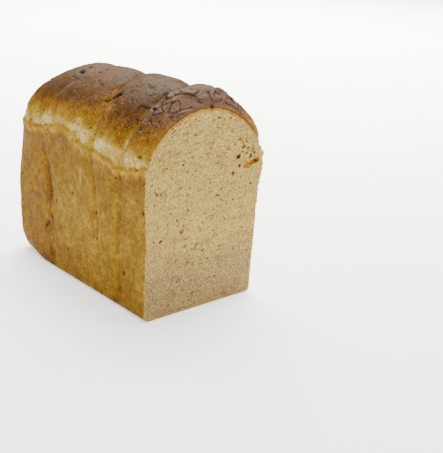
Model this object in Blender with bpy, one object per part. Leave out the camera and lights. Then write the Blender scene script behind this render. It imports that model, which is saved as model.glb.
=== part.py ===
# A large tin loaf with one end cut off: four lobes of dough baked side by side,
# tin-straight sides, a torn pale band above them and a cracked domed crown.
# The loaf stands on its base with its length along Y and the cut face towards -Y.
import math

import bmesh
import bpy
import numpy as np
from mathutils import Matrix, Vector, noise

MM = 0.001

# Overall size of the loaf
LOAF_WIDTH = 120 * MM
LOAF_LENGTH = 208 * MM
RIM_HEIGHT = 126 * MM
SIDE_TAPER = 2.2 * MM
WALL_HOLLOW = 0.3 * MM

# Crown: its rise above the rim and the fullness of its section at stations along the
# loaf; it falls away towards the cut, where the next lobe began
CROWN_STATIONS = [-30 * MM, 0, 7 * MM, 14 * MM, 23 * MM, 60 * MM, 110 * MM, 150 * MM,
                  180 * MM, 210 * MM]
CROWN_RISES = [36 * MM, 44 * MM, 49.5 * MM, 54 * MM, 57 * MM, 56.5 * MM, 55 * MM,
               54 * MM, 52 * MM, 47 * MM]
LEFT_POWERS = [0.64, 0.63, 0.58, 0.54, 0.51, 0.51, 0.52, 0.53, 0.57, 0.6]
RIGHT_POWERS = [0.64, 0.62, 0.5, 0.43, 0.41, 0.44, 0.47, 0.48, 0.48, 0.48]
END_ROUNDING = 46 * MM

# Rounded corners and base edges
CORNER_RADIUS = 13 * MM
RIM_CORNER_RADIUS = 32 * MM
BASE_RADIUS = 5 * MM
END_BASE_RADIUS = 18 * MM
END_BASE_LIFT = 27 * MM
END_BASE_CORNER = 14 * MM
END_REACH = 55 * MM
END_BASE_HEIGHT = 50 * MM

# Creases between the lobes: where each one passes along the loaf, read on the way
# round it from the left base edge over the crown to the right base edge
GIRTH_STOPS = [-186 * MM, -122 * MM, -60 * MM, -46 * MM, -30 * MM, -12 * MM, 2 * MM,
               15 * MM, 34 * MM, 60 * MM, 122 * MM, 186 * MM]
CREASE_REFERENCE = [34 * MM, 88 * MM, 147 * MM]
CREASE_NEAR = [38 * MM, 37.5 * MM, 36 * MM, 30 * MM, 31 * MM, 28 * MM, 32 * MM,
               43 * MM, 51 * MM, 54 * MM, 50 * MM, 47 * MM]
CREASE_MIDDLE = [61 * MM, 66 * MM, 77 * MM, 82 * MM, 84 * MM, 87 * MM, 96 * MM,
                 105 * MM, 111 * MM, 113 * MM, 106 * MM, 101 * MM]
CREASE_FAR = [139 * MM, 143 * MM, 151 * MM, 148 * MM, 140 * MM, 140 * MM, 145 * MM,
              151 * MM, 156 * MM, 158 * MM, 154 * MM, 151 * MM]
CREASE_DEPTH_TOP = [9.5 * MM, 7 * MM, 3 * MM]
CREASE_DEPTH_SIDE = [2.0 * MM, 1.2 * MM, 2.2 * MM]
GROOVE_REACH = 4.5 * MM
GROOVE_POWER = 1.5
WALL_ROUND = 0.8 * MM
CROWN_LOW = 118 * MM
CROWN_HIGH = 160 * MM
LOBE_START = -26 * MM
LOBE_POWER = 0.55
LOBE_ROUNDNESS = 2.4
LIP_RISE = 1.6 * MM
LIP_REACH = 9 * MM

# Torn band between the tin side and the crown crust
BAND_STATIONS = [0, 20 * MM, 36 * MM, 57 * MM, 84 * MM, 95 * MM, 112 * MM, 140 * MM,
                 160 * MM, 184 * MM, 208 * MM]
BAND_LOWS = [127 * MM, 123.5 * MM, 119 * MM, 124.5 * MM, 124 * MM, 130 * MM, 135 * MM,
             133 * MM, 127 * MM, 128.5 * MM, 127 * MM]
BAND_HIGHS = [140 * MM, 139 * MM, 140 * MM, 143 * MM, 146 * MM, 148 * MM, 149 * MM,
              148 * MM, 146 * MM, 144 * MM, 144 * MM]
BAND_STEP = 0.7 * MM
BAND_WAVE = 2.2 * MM
BAND_WAVE_SIZE = 9 * MM
BAND_ROUGH = 0.5 * MM
BAND_ROUGH_SIZE = 5 * MM
BAND_LOW_EDGE = 1.5 * MM
BAND_HIGH_EDGE = 4 * MM

# Cracked plates of the crown crust
PLATE_ACROSS = 24 * MM
PLATE_ALONG = 13 * MM
PLATE_UP = 20 * MM
PLATE_CRACK = 1.3 * MM
PLATE_TILT = 0.8 * MM
PLATE_DRAW = 7.3
PLATE_EDGE = 2.4 * MM
PLATE_LOW = 146 * MM
PLATE_HIGH = 158 * MM
PLATE_BEND = 0.22
PLATE_BEND_SIZE = 11 * MM
PLATE_BEND_DRAWS = [(0, 0, 0), (4.7, 2.3, 8.1), (9.2, 6.4, 3.6)]
PLATE_EDGE_PLACE = 5.3 * MM
PLATE_EDGE_RISE = 0.5 * MM
PLATE_FADE = [0, 9 * MM, 40 * MM, 60 * MM, 110 * MM, 210 * MM]
PLATE_SHARE = [0.3, 1.0, 1.0, 0.5, 0.25, 0.25]

# Broad and middling unevenness of the whole crust
BROAD_SIZE = 42 * MM
BROAD_RELIEF = 1.5 * MM
MIDDLE_SIZE = 13 * MM
MIDDLE_RELIEF = 0.5 * MM
MIDDLE_DRAW = (3.1, 7.7, 1.3)

# The right wall swells under its rim beside the cut
SWELL_HEIGHT = 116 * MM
SWELL_SPREAD = 15 * MM
SWELL_REACH = 45 * MM
SWELL_OUT = 2.6 * MM

# The right shoulder of the crown hangs over the wall behind the cut
SHOULDER_HEIGHT = 144 * MM
SHOULDER_SPREAD = 17 * MM
SHOULDER_START = 5 * MM
SHOULDER_REACH = 90 * MM
SHOULDER_OUT = 7.5 * MM

# Torn slit in the cut face under the right shoulder
SLIT_X = 49.6 * MM
SLIT_Z = 118.2 * MM
SLIT_LENGTH = 17.5 * MM
SLIT_HEIGHT = 3.0 * MM
SLIT_DEPTH = 7 * MM
SLIT_ANGLE = 15

# Number of strips over the crown, and up the walls
CROWN_STRIPS = 34
WALL_STRIPS = 13
LOBE_STRIPS = 17
CUT_ALLOWANCE = 13 * MM
CROWN_CROWDING = 1.25
LOBE_CROWDING = 1.1
WALL_CROWDING = 1.2


def clear_scene():
    for item in list(bpy.data.objects):
        bpy.data.objects.remove(item, do_unlink=True)


def make_collection(name):
    group = bpy.data.collections.new(name)
    bpy.context.scene.collection.children.link(group)
    return group


def crust_material():
    material = bpy.data.materials.new("crust")
    material.use_nodes = True
    shader = material.node_tree.nodes["Principled BSDF"]
    shader.inputs["Base Color"].default_value = (0.31, 0.15, 0.045, 1)
    shader.inputs["Roughness"].default_value = 0.62
    shader.inputs["Metallic"].default_value = 0
    return material


def smooth_step(value, low, high):
    t = min(1, max(0, (value - low) / (high - low)))
    return t * t * (3 - 2 * t)


# Crowded spacing from -1 to 1, with the narrow strips at both ends
def crowded(count, crowding):
    steps = [2 * i / count - 1 for i in range(count + 1)]
    return [math.sin(crowding * t) / math.sin(crowding) for t in steps]


def blank_levels():
    half = LOAF_WIDTH / 2
    across = [half * t for t in crowded(CROWN_STRIPS, CROWN_CROWDING)]
    stops = [LOBE_START] + CREASE_REFERENCE + [LOAF_LENGTH]
    along = []
    for near, far in zip(stops, stops[1:]):
        middle = (near + far) / 2
        reach = (far - near) / 2
        along += [middle + reach * t for t in crowded(LOBE_STRIPS, LOBE_CROWDING)[1:]]
    along = [y for y in along if y > -CUT_ALLOWANCE]
    up = [RIM_HEIGHT * (t + 1) / 2 for t in crowded(WALL_STRIPS, WALL_CROWDING)]
    return across, along, up


# A plain block, sliced by planes into strips along all three axes
def make_blank():
    mesh = bmesh.new()
    bmesh.ops.create_cube(mesh, size=1)
    size = Vector((LOAF_WIDTH, LOAF_LENGTH + CUT_ALLOWANCE, RIM_HEIGHT))
    centre = Vector((0, (LOAF_LENGTH - CUT_ALLOWANCE) / 2, RIM_HEIGHT / 2))
    bmesh.ops.scale(mesh, vec=size, verts=mesh.verts)
    bmesh.ops.translate(mesh, vec=centre, verts=mesh.verts)
    for axis, levels in zip(((1, 0, 0), (0, 1, 0), (0, 0, 1)), blank_levels()):
        for level in levels[:-1]:
            point = Vector(axis) * level
            everything = mesh.verts[:] + mesh.edges[:] + mesh.faces[:]
            bmesh.ops.bisect_plane(mesh, geom=everything, dist=1e-6,
                                   plane_co=point, plane_no=axis)
    return mesh


def girth_place(point):
    side = -1 if point.x < 0 else 1
    return point.x + side * max(0, RIM_HEIGHT - point.z)


# Where a station of the straight blank lies once its creases have wandered
def crease_stations(girth):
    paths = (CREASE_NEAR, CREASE_MIDDLE, CREASE_FAR)
    return [float(np.interp(girth, GIRTH_STOPS, path)) for path in paths]


def warp_along(y, girth):
    before = [LOBE_START] + CREASE_REFERENCE + [LOAF_LENGTH]
    after = [LOBE_START] + crease_stations(girth) + [LOAF_LENGTH]
    return float(np.interp(y, before, after))


# Height of the crown over the rim, from its place in the square blank: level lines
# run round the far end as rounded corners
def crown_rise(x, y, station):
    rise = float(np.interp(station, CROWN_STATIONS, CROWN_RISES))
    left = float(np.interp(station, CROWN_STATIONS, LEFT_POWERS))
    right = float(np.interp(station, CROWN_STATIONS, RIGHT_POWERS))
    power = left + (right - left) * smooth_step(x, -LOAF_WIDTH / 4, LOAF_WIDTH / 4)
    across = max(0, 1 - (2 * x / LOAF_WIDTH) ** 2)
    end = 1 - max(0, (y - LOAF_LENGTH + END_ROUNDING) / END_ROUNDING) ** 2
    if across * end < 1e-9:
        return 0
    return rise * (across * end / (across + end - across * end)) ** power


def blend(low, high, share):
    return low + (high - low) * share


# Radii across, along and up of the edges and corners near a place: small along the
# base edges, and larger at the far end
def edge_radii(point):
    end = smooth_step(point.y, LOAF_LENGTH - END_REACH, LOAF_LENGTH - END_BASE_RADIUS)
    lift = smooth_step(point.y, LOAF_LENGTH - END_REACH, LOAF_LENGTH - 4 * MM)
    rim = smooth_step(point.z, RIM_HEIGHT / 2, RIM_HEIGHT)
    low = smooth_step(point.z, 0, END_BASE_HEIGHT)
    corner = blend(CORNER_RADIUS, RIM_CORNER_RADIUS, rim)
    across = blend(BASE_RADIUS, blend(END_BASE_CORNER, corner, low), end)
    along = blend(END_BASE_RADIUS, corner, low)
    up = blend(BASE_RADIUS, END_BASE_LIFT, lift)
    return Vector((across, along, up))


# Pull the block's square edges and corners in to round ones
def round_edges(point):
    side = -1 if point.x < 0 else 1
    radii = edge_radii(point)
    core = Vector((LOAF_WIDTH / 2, LOAF_LENGTH, 0)) - Vector((radii.x, radii.y, -radii.z))
    over = Vector((abs(point.x) - core.x, point.y - core.y, core.z - point.z))
    share = Vector([max(0, o / r) for o, r in zip(over, radii)])
    if share.length == 0:
        return point
    pull = max(share) / share.length
    over = Vector([o * pull if o > 0 else o for o in over])
    return Vector((side * (core.x + over.x), core.y + over.y, core.z - over.z))


# Walls lean in towards the base and are slightly hollow half-way up
def lean_walls(point):
    height = min(point.z, RIM_HEIGHT) / RIM_HEIGHT
    inward = SIDE_TAPER * (1 - height) + WALL_HOLLOW * math.sin(math.pi * height)
    factor = 1 - inward / (LOAF_WIDTH / 2)
    end = LOAF_LENGTH / 2
    along = end + (point.y - end) * (2 + factor) / 3 if point.y > end else point.y
    return Vector((point.x * factor, along, point.z))


def swell_wall(point):
    if point.x < 0:
        return point
    up = (point.z - SWELL_HEIGHT) / SWELL_SPREAD
    along = point.y / SWELL_REACH
    out = SWELL_OUT * math.exp(-up * up - along * along)
    up = (point.z - SHOULDER_HEIGHT) / SHOULDER_SPREAD
    start = 1 - math.exp(-(max(0, point.y) / SHOULDER_START) ** 2)
    along = point.y / SHOULDER_REACH
    out += SHOULDER_OUT * start * math.exp(-up * up - along * along)
    return point + Vector((out * (2 * point.x / LOAF_WIDTH) ** 3, 0, 0))


def place_on_loaf(blank):
    girth = girth_place(blank)
    point = Vector((blank.x, warp_along(blank.y, girth), blank.z))
    if blank.z > RIM_HEIGHT - 1e-6:
        point.z += crown_rise(blank.x, blank.y, point.y)
    point = lean_walls(round_edges(point))
    return swell_wall(point)


# How far a place stands below the round of its lobe: steep creases between the lobes
# on the crown, and soft grooves where they run down the walls
def lobe_relief(blank, top_share):
    stops = [LOBE_START] + CREASE_REFERENCE + [LOAF_LENGTH]
    top = [0] + CREASE_DEPTH_TOP + [0]
    near = 0
    while near < len(stops) - 2 and blank.y > stops[near + 1]:
        near += 1
    length = stops[near + 1] - stops[near]
    t = min(1, max(0, (blank.y - stops[near]) / length))
    ends = top[near] * (1 - t) + top[near + 1] * t
    round_off = (1 - abs(2 * t - 1) ** LOBE_ROUNDNESS) ** LOBE_POWER
    lip = 0
    to_crease = stops[near + 1] - blank.y
    if near < len(stops) - 2:
        share = top[near + 1] / CREASE_DEPTH_TOP[0]
        reach = to_crease / LIP_REACH
        lip = LIP_RISE * share * reach * math.exp(1 - reach)
    groove = 0
    for place, deep in zip(CREASE_REFERENCE, CREASE_DEPTH_SIDE):
        away = abs(blank.y - place) / GROOVE_REACH
        groove += deep * math.exp(-away ** GROOVE_POWER)
    crown = lip - ends * (1 - round_off)
    wall = -groove - WALL_ROUND * (1 - round_off)
    return wall + (crown - wall) * top_share


def band_relief(point):
    wave = BAND_WAVE * noise.noise(Vector((point.x, point.y, 0)) / BAND_WAVE_SIZE)
    low = float(np.interp(point.y, BAND_STATIONS, BAND_LOWS)) + wave
    high = float(np.interp(point.y, BAND_STATIONS, BAND_HIGHS)) + wave
    inside = smooth_step(point.z, low - BAND_LOW_EDGE, low + BAND_LOW_EDGE)
    inside *= 1 - smooth_step(point.z, high - BAND_HIGH_EDGE, high)
    return inside * (BAND_ROUGH * noise.noise(point / BAND_ROUGH_SIZE) - BAND_STEP)


def plate_relief(point):
    share = float(np.interp(point.y, PLATE_FADE, PLATE_SHARE))
    share *= smooth_step(point.z, PLATE_LOW, PLATE_HIGH)
    if share <= 0:
        return 0
    bend = Vector([PLATE_BEND * noise.noise(point / PLATE_BEND_SIZE + Vector(draw))
                   for draw in PLATE_BEND_DRAWS])
    spot = Vector((point.x / PLATE_ACROSS, point.y / PLATE_ALONG, point.z / PLATE_UP))
    distances, centres = noise.voronoi(spot + bend)
    border = (distances[1] - distances[0]) * PLATE_ALONG
    crack = math.exp(-(border / PLATE_EDGE) ** 2)
    edge = math.exp(-((border - PLATE_EDGE_PLACE) / PLATE_EDGE) ** 2)
    lift = PLATE_TILT * (noise.cell(centres[0] * PLATE_DRAW) - 0.5)
    return share * (lift + PLATE_EDGE_RISE * edge - PLATE_CRACK * crack)


def broad_relief(point):
    broad = noise.noise(point / BROAD_SIZE)
    middle = noise.noise(point / MIDDLE_SIZE + Vector(MIDDLE_DRAW))
    return BROAD_RELIEF * broad + MIDDLE_RELIEF * middle


def relief(point, blank):
    top_share = smooth_step(point.z, CROWN_LOW, CROWN_HIGH)
    height = lobe_relief(blank, top_share)
    height += band_relief(point) + plate_relief(point) + broad_relief(point)
    return height * smooth_step(blank.z, 0, BASE_RADIUS)


def shape_loaf(mesh):
    blanks = [vert.co.copy() for vert in mesh.verts]
    for vert, blank in zip(mesh.verts, blanks):
        vert.co = place_on_loaf(blank)
    mesh.normal_update()
    moved = [vert.co + vert.normal * relief(vert.co, blank)
             for vert, blank in zip(mesh.verts, blanks)]
    for vert, place in zip(mesh.verts, moved):
        vert.co = place


# Slice the near end off square, and close the cut with one flat face
def cut_end(mesh):
    everything = mesh.verts[:] + mesh.edges[:] + mesh.faces[:]
    result = bmesh.ops.bisect_plane(mesh, geom=everything, dist=1e-6, plane_co=(0, 0, 0),
                                    plane_no=(0, -1, 0), clear_outer=True)
    edges = [item for item in result["geom_cut"] if isinstance(item, bmesh.types.BMEdge)]
    bmesh.ops.contextual_create(mesh, geom=edges)


# The strips of the flat base become one face
def join_base(mesh):
    flat = [face for face in mesh.faces if max(v.co.z for v in face.verts) < 1e-6]
    bmesh.ops.dissolve_faces(mesh, faces=flat, use_verts=True)


def centre_on_base(mesh):
    low = [min(vert.co[axis] for vert in mesh.verts) for axis in range(3)]
    high = [max(vert.co[axis] for vert in mesh.verts) for axis in range(3)]
    shift = Vector((-(low[0] + high[0]) / 2, -(low[1] + high[1]) / 2, -low[2]))
    bmesh.ops.translate(mesh, vec=shift, verts=mesh.verts)
    return shift


def make_loaf(group):
    mesh = make_blank()
    shape_loaf(mesh)
    cut_end(mesh)
    join_base(mesh)
    shift = centre_on_base(mesh)
    bmesh.ops.recalc_face_normals(mesh, faces=mesh.faces)
    data = bpy.data.meshes.new("loaf")
    mesh.to_mesh(data)
    mesh.free()
    data.materials.append(crust_material())
    loaf = bpy.data.objects.new("loaf", data)
    group.objects.link(loaf)
    return loaf, shift


def make_slit_cutter(group, shift):
    mesh = bmesh.new()
    bmesh.ops.create_uvsphere(mesh, u_segments=16, v_segments=8, radius=1)
    size = Vector((SLIT_LENGTH / 2, SLIT_DEPTH, SLIT_HEIGHT / 2))
    bmesh.ops.scale(mesh, vec=size, verts=mesh.verts)
    data = bpy.data.meshes.new("slit_cutter")
    mesh.to_mesh(data)
    mesh.free()
    cutter = bpy.data.objects.new("slit_cutter", data)
    group.objects.link(cutter)
    turn = Matrix.Rotation(math.radians(-SLIT_ANGLE), 4, "Y")
    cutter.matrix_world = Matrix.Translation(Vector((SLIT_X, 0, SLIT_Z)) + shift) @ turn
    cutter.display_type = "WIRE"
    cutter.hide_render = True
    return cutter


def cut_slit(loaf, cutter):
    boolean = loaf.modifiers.new("torn slit", "BOOLEAN")
    boolean.operation = "DIFFERENCE"
    boolean.solver = "EXACT"
    boolean.object = cutter


def shade_round(loaf):
    loaf.data.shade_smooth()
    loaf.data.set_sharp_from_angle(angle=math.radians(60))


def build():
    clear_scene()
    solids = make_collection("tin loaf")
    cutters = make_collection("cutters")
    loaf, shift = make_loaf(solids)
    cut_slit(loaf, make_slit_cutter(cutters, shift))
    shade_round(loaf)


build()
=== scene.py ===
import math
import random

import bpy
import numpy as np
from mathutils import Matrix, Vector, kdtree, noise


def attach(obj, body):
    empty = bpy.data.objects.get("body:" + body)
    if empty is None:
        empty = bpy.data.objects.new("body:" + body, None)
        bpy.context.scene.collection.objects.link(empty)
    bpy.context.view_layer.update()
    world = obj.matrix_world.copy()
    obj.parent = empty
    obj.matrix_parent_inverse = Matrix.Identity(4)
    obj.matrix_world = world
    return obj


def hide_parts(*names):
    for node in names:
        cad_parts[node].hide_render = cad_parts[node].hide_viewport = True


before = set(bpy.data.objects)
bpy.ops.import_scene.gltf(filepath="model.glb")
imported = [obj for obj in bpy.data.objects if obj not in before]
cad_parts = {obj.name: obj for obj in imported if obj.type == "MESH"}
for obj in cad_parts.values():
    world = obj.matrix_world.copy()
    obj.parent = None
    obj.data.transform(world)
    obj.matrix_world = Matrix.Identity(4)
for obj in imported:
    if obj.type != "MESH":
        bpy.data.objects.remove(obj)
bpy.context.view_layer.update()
mm = 0.001


# small helpers for meshes

def deselectAll():
    if bpy.context.object and bpy.context.object.mode != "OBJECT":
        bpy.ops.object.mode_set(mode="OBJECT")
    bpy.ops.object.select_all(action="DESELECT")


def pick(piece):
    deselectAll()
    piece.select_set(True)
    bpy.context.view_layer.objects.active = piece


def editWhole(step, **settings):  # one edit on the whole active mesh, left unselected
    bpy.ops.object.mode_set(mode="EDIT")
    bpy.ops.mesh.select_all(action="SELECT")
    step(**settings)
    bpy.ops.mesh.select_all(action="DESELECT")
    bpy.ops.object.mode_set(mode="OBJECT")


def readPoints(piece):
    flat = np.empty(len(piece.data.vertices) * 3)
    piece.data.vertices.foreach_get("co", flat)
    return flat.reshape(-1, 3)


def writePoints(piece, points):
    piece.data.vertices.foreach_set("co", np.ascontiguousarray(points).ravel())
    piece.data.update()


def readNormals(piece):
    flat = np.empty(len(piece.data.vertices) * 3)
    piece.data.vertex_normals.foreach_get("vector", flat)
    return flat.reshape(-1, 3)


def paint(piece, name, values):  # one number for each point, for the materials
    layer = piece.data.attributes.new(name, "FLOAT", "POINT")
    layer.data.foreach_set("value", np.ascontiguousarray(values, dtype=np.float32))


def makeTree(points):
    tree = kdtree.KDTree(len(points))
    for k, point in enumerate(points):
        tree.insert(point, k)
    tree.balance()
    return tree


def smoothStep(value, low, high):
    t = np.clip((value - low) / (high - low), 0, 1)
    return t * t * (3 - 2 * t)


def lump(value, middle, spread):
    return np.exp(-((value - middle) / spread) ** 2)


def noiseAt(points, size, shift=(0, 0, 0)):
    spots = points / np.asarray(size) + np.asarray(shift)
    return np.array([noise.noise(Vector(spot)) for spot in spots])


def roughAt(points, size, octaves=3, shift=(0, 0, 0)):
    spots = points / np.asarray(size) + np.asarray(shift)
    return np.array([noise.fractal(Vector(spot), 0.9, 2.1, octaves) for spot in spots])


bendShifts = ((0, 0, 0), (4.7, 2.3, 8.1), (9.2, 6.4, 3.6))


def cellsAt(points, sizes, bend):  # cell borders, a draw and a tilt for each cell
    sizes = np.asarray(sizes, float)
    spots = points / sizes
    share, bendSize = bend
    for axis, shift in enumerate(bendShifts):
        spots[:, axis] += share * noiseAt(points, bendSize, shift)
    gaps, draws, tilts = np.empty((3, len(spots)))
    for i, spot in enumerate(map(Vector, spots)):
        distances, centres = noise.voronoi(spot)
        gaps[i] = distances[1] - distances[0]
        draws[i] = noise.cell(centres[0] * 7.3)
        turn = 40 * noise.cell(centres[0] * 3.1)
        away = spot - centres[0]
        tilts[i] = away.x * math.cos(turn) + away.y * math.sin(turn)
    return gaps * sizes.min(), draws, tilts


# shape of the loaf, in mm, with the cut face at y = 0

loaf = {
    "width": 120, "length": 208, "rim": 126, "taper": 2.2, "hollow": 0.3,
    "shift": (-2.392, -103.708, 0),
    "riseAt": [-30, 0, 7, 14, 23, 60, 110, 150, 180, 210],
    "rise": [36, 44, 49.5, 54, 57, 56.5, 55, 54, 52, 47],
    "leftFull": [0.64, 0.63, 0.58, 0.54, 0.51, 0.51, 0.52, 0.53, 0.57, 0.6],
    "rightFull": [0.64, 0.62, 0.5, 0.43, 0.41, 0.44, 0.47, 0.48, 0.48, 0.48],
    "endRounding": 46, "corner": 13, "rimCorner": 32, "baseEdge": 5,
    "endBaseEdge": 18, "endBaseUp": 27, "endBaseCorner": 14, "endReach": 55,
    "endBaseHeight": 50,
    "creaseAt": [34, 88, 147], "lobeStart": -26,
    "girth": [-186, -122, -60, -46, -30, -12, 2, 15, 34, 60, 122, 186],
    "nearCrease": [38, 37.5, 36, 30, 31, 28, 32, 43, 51, 54, 50, 47],
    "middleCrease": [61, 66, 77, 82, 84, 87, 96, 105, 111, 113, 106, 101],
    "farCrease": [139, 143, 151, 148, 140, 140, 145, 151, 156, 158, 154, 151],
    "creaseTop": [9.5, 7, 3], "creaseSide": [2.0, 1.2, 2.2],
    "swell": (116, 15, 45, 2.6), "shoulder": (144, 17, 5, 90, 7.5),
}


def warpAlong(y, girth):
    before = np.array([loaf["lobeStart"]] + loaf["creaseAt"] + [loaf["length"]], float)
    paths = [np.interp(girth, loaf["girth"], loaf[key])
             for key in ("nearCrease", "middleCrease", "farCrease")]
    after = np.stack([np.full_like(y, before[0])] + paths + [np.full_like(y, before[-1])], 1)
    lobe = np.clip(np.searchsorted(before, y) - 1, 0, 3)
    row = np.arange(len(y))
    share = (y - before[lobe]) / (before[lobe + 1] - before[lobe])
    return after[row, lobe] + share * (after[row, lobe + 1] - after[row, lobe])


def crownRise(x, y, station):
    rise = np.interp(station, loaf["riseAt"], loaf["rise"])
    left = np.interp(station, loaf["riseAt"], loaf["leftFull"])
    right = np.interp(station, loaf["riseAt"], loaf["rightFull"])
    width = loaf["width"]
    full = left + (right - left) * smoothStep(x, -width / 4, width / 4)
    across = np.maximum(0, 1 - (2 * x / width) ** 2)
    reach = loaf["endRounding"]
    end = 1 - np.maximum(0, (y - loaf["length"] + reach) / reach) ** 2
    end = np.maximum(0, end)
    both = np.maximum(1e-9, across + end - across * end)
    return rise * (across * end / both) ** full * (across * end > 1e-9)


def roundEdges(p):
    end = smoothStep(p[:, 1], loaf["length"] - loaf["endReach"],
                     loaf["length"] - loaf["endBaseEdge"])
    endUp = smoothStep(p[:, 1], loaf["length"] - loaf["endReach"], loaf["length"] - 4)
    rim = smoothStep(p[:, 2], loaf["rim"] / 2, loaf["rim"])
    corner = loaf["corner"] + (loaf["rimCorner"] - loaf["corner"]) * rim
    low = smoothStep(p[:, 2], 0, loaf["endBaseHeight"])
    lowCorner = loaf["endBaseCorner"] + (corner - loaf["endBaseCorner"]) * low
    across = loaf["baseEdge"] + (lowCorner - loaf["baseEdge"]) * end
    along = loaf["endBaseEdge"] + (corner - loaf["endBaseEdge"]) * low
    up = loaf["baseEdge"] + (loaf["endBaseUp"] - loaf["baseEdge"]) * endUp
    radii = np.stack([across, along, up], 1)
    core = np.stack([loaf["width"] / 2 - across, loaf["length"] - along, up], 1)
    over = np.stack([np.abs(p[:, 0]) - core[:, 0], p[:, 1] - core[:, 1],
                     core[:, 2] - p[:, 2]], 1)
    share = np.maximum(0, over / radii)
    size = np.linalg.norm(share, axis=1)
    pull = np.where(size > 0, share.max(1) / np.maximum(size, 1e-9), 1)[:, None]
    over = np.where(over > 0, over * pull, over)
    side = np.where(p[:, 0] < 0, -1, 1)
    return np.stack([side * (core[:, 0] + over[:, 0]), core[:, 1] + over[:, 1],
                     core[:, 2] - over[:, 2]], 1)


def leanWalls(p):
    height = np.minimum(p[:, 2], loaf["rim"]) / loaf["rim"]
    inward = loaf["taper"] * (1 - height) + loaf["hollow"] * np.sin(math.pi * height)
    factor = 1 - 2 * inward / loaf["width"]
    middle = loaf["length"] / 2
    along = np.where(p[:, 1] > middle, middle + (p[:, 1] - middle) * (2 + factor) / 3, p[:, 1])
    return np.stack([p[:, 0] * factor, along, p[:, 2]], 1)


def swellWall(p):
    height, spread, reach, out = loaf["swell"]
    push = out * np.exp(-((p[:, 2] - height) / spread) ** 2 - (p[:, 1] / reach) ** 2)
    height, spread, start, reach, out = loaf["shoulder"]
    begun = 1 - np.exp(-(np.maximum(0, p[:, 1]) / start) ** 2)
    fall = np.exp(-((p[:, 2] - height) / spread) ** 2 - (p[:, 1] / reach) ** 2)
    push = (push + out * begun * fall) * (p[:, 0] > 0)
    moved = p.copy()
    moved[:, 0] += push * np.abs(2 * p[:, 0] / loaf["width"]) ** 3
    return moved


def placeOnLoaf(blank):
    side = np.where(blank[:, 0] < 0, -1, 1)
    girth = blank[:, 0] + side * np.maximum(0, loaf["rim"] - blank[:, 2])
    p = blank.copy()
    p[:, 1] = warpAlong(blank[:, 1], girth)
    top = blank[:, 2] > loaf["rim"] - 0.001
    p[:, 2] += top * crownRise(blank[:, 0], blank[:, 1], p[:, 1])
    return swellWall(leanWalls(roundEdges(p)))


# relief that the solid has too: lobes, torn band, plates, unevenness

relief = {
    "lobePower": 0.55, "lobeRound": 2.4, "lip": 1.6, "lipReach": 9,
    "groove": 4.5, "wallRound": 0.8, "crownLow": 118, "crownHigh": 160,
    "plateAt": [0, 9, 40, 60, 110, 210], "plateShare": [0.3, 1, 1, 0.5, 0.25, 0.25],
    "crackAt": [0, 31, 37, 60, 110, 210], "crackShare": [1, 1, 0.25, 0.15, 0.15, 0.15],
    "plateSizes": (24, 13, 20), "plateBend": (0.22, 11), "plateTilt": 0.8,
    "plateLow": 146, "plateHigh": 158,
    "broad": (42, 1.5), "middle": (13, 0.5),
}


def lobeRelief(y, fade, topShare):
    stops = np.array([loaf["lobeStart"]] + loaf["creaseAt"] + [loaf["length"]], float)
    depth = np.array([0] + loaf["creaseTop"] + [0], float)
    near = np.clip(np.searchsorted(stops, y) - 1, 0, 3)
    t = np.clip((y - stops[near]) / (stops[near + 1] - stops[near]), 0, 1)
    ends = depth[near] * (1 - t) + depth[near + 1] * t
    roundOff = np.maximum(0, 1 - np.abs(2 * t - 1) ** relief["lobeRound"]) ** relief["lobePower"]
    reach = np.maximum(0, stops[near + 1] - y) / relief["lipReach"]
    share = depth[near + 1] / depth[1]
    lip = (near < 3) * relief["lip"] * share * reach * np.exp(1 - reach)
    groove = np.zeros_like(y)
    for place, deep in zip(loaf["creaseAt"], loaf["creaseSide"]):
        groove += deep * np.exp(-((y - place) / relief["groove"]) ** 2)
    crown = lip - ends * (1 - roundOff)
    wall = -groove * fade - relief["wallRound"] * np.abs(2 * t - 1) ** 4
    return wall + (crown - wall) * topShare


# where the pale torn band starts and ends on the way along the loaf
band = {
    "at": [0, 20, 36, 57, 84, 95, 112, 140, 160, 184, 208],
    "low": [127, 123.5, 119, 124.5, 124, 130, 135, 133, 127, 128.5, 127],
    "high": [140, 139, 140, 143, 146, 148, 149, 148, 146, 144, 144],
    "wave": 2.2, "waveSize": 9, "step": 1.1, "shred": 1.2, "bumps": 1.1,
}


def bandEdges(p):
    flat = p * np.array([1, 1, 0])
    wave = band["wave"] * noiseAt(flat, band["waveSize"])
    fine = 2.3 * roughAt(flat, 4.4, 3, (5, 1, 2))
    low = np.interp(p[:, 1], band["at"], band["low"]) + wave + fine
    high = np.interp(p[:, 1], band["at"], band["high"]) + 1.5 * wave - 2
    high += 2.0 * roughAt(flat, 5.2, 3, (2, 7, 4))
    return low, high


def unit(points):
    return points / np.maximum(1e-9, np.linalg.norm(points, axis=1))[:, None]


# browning and small relief of the crust, worked out for every point

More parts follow.
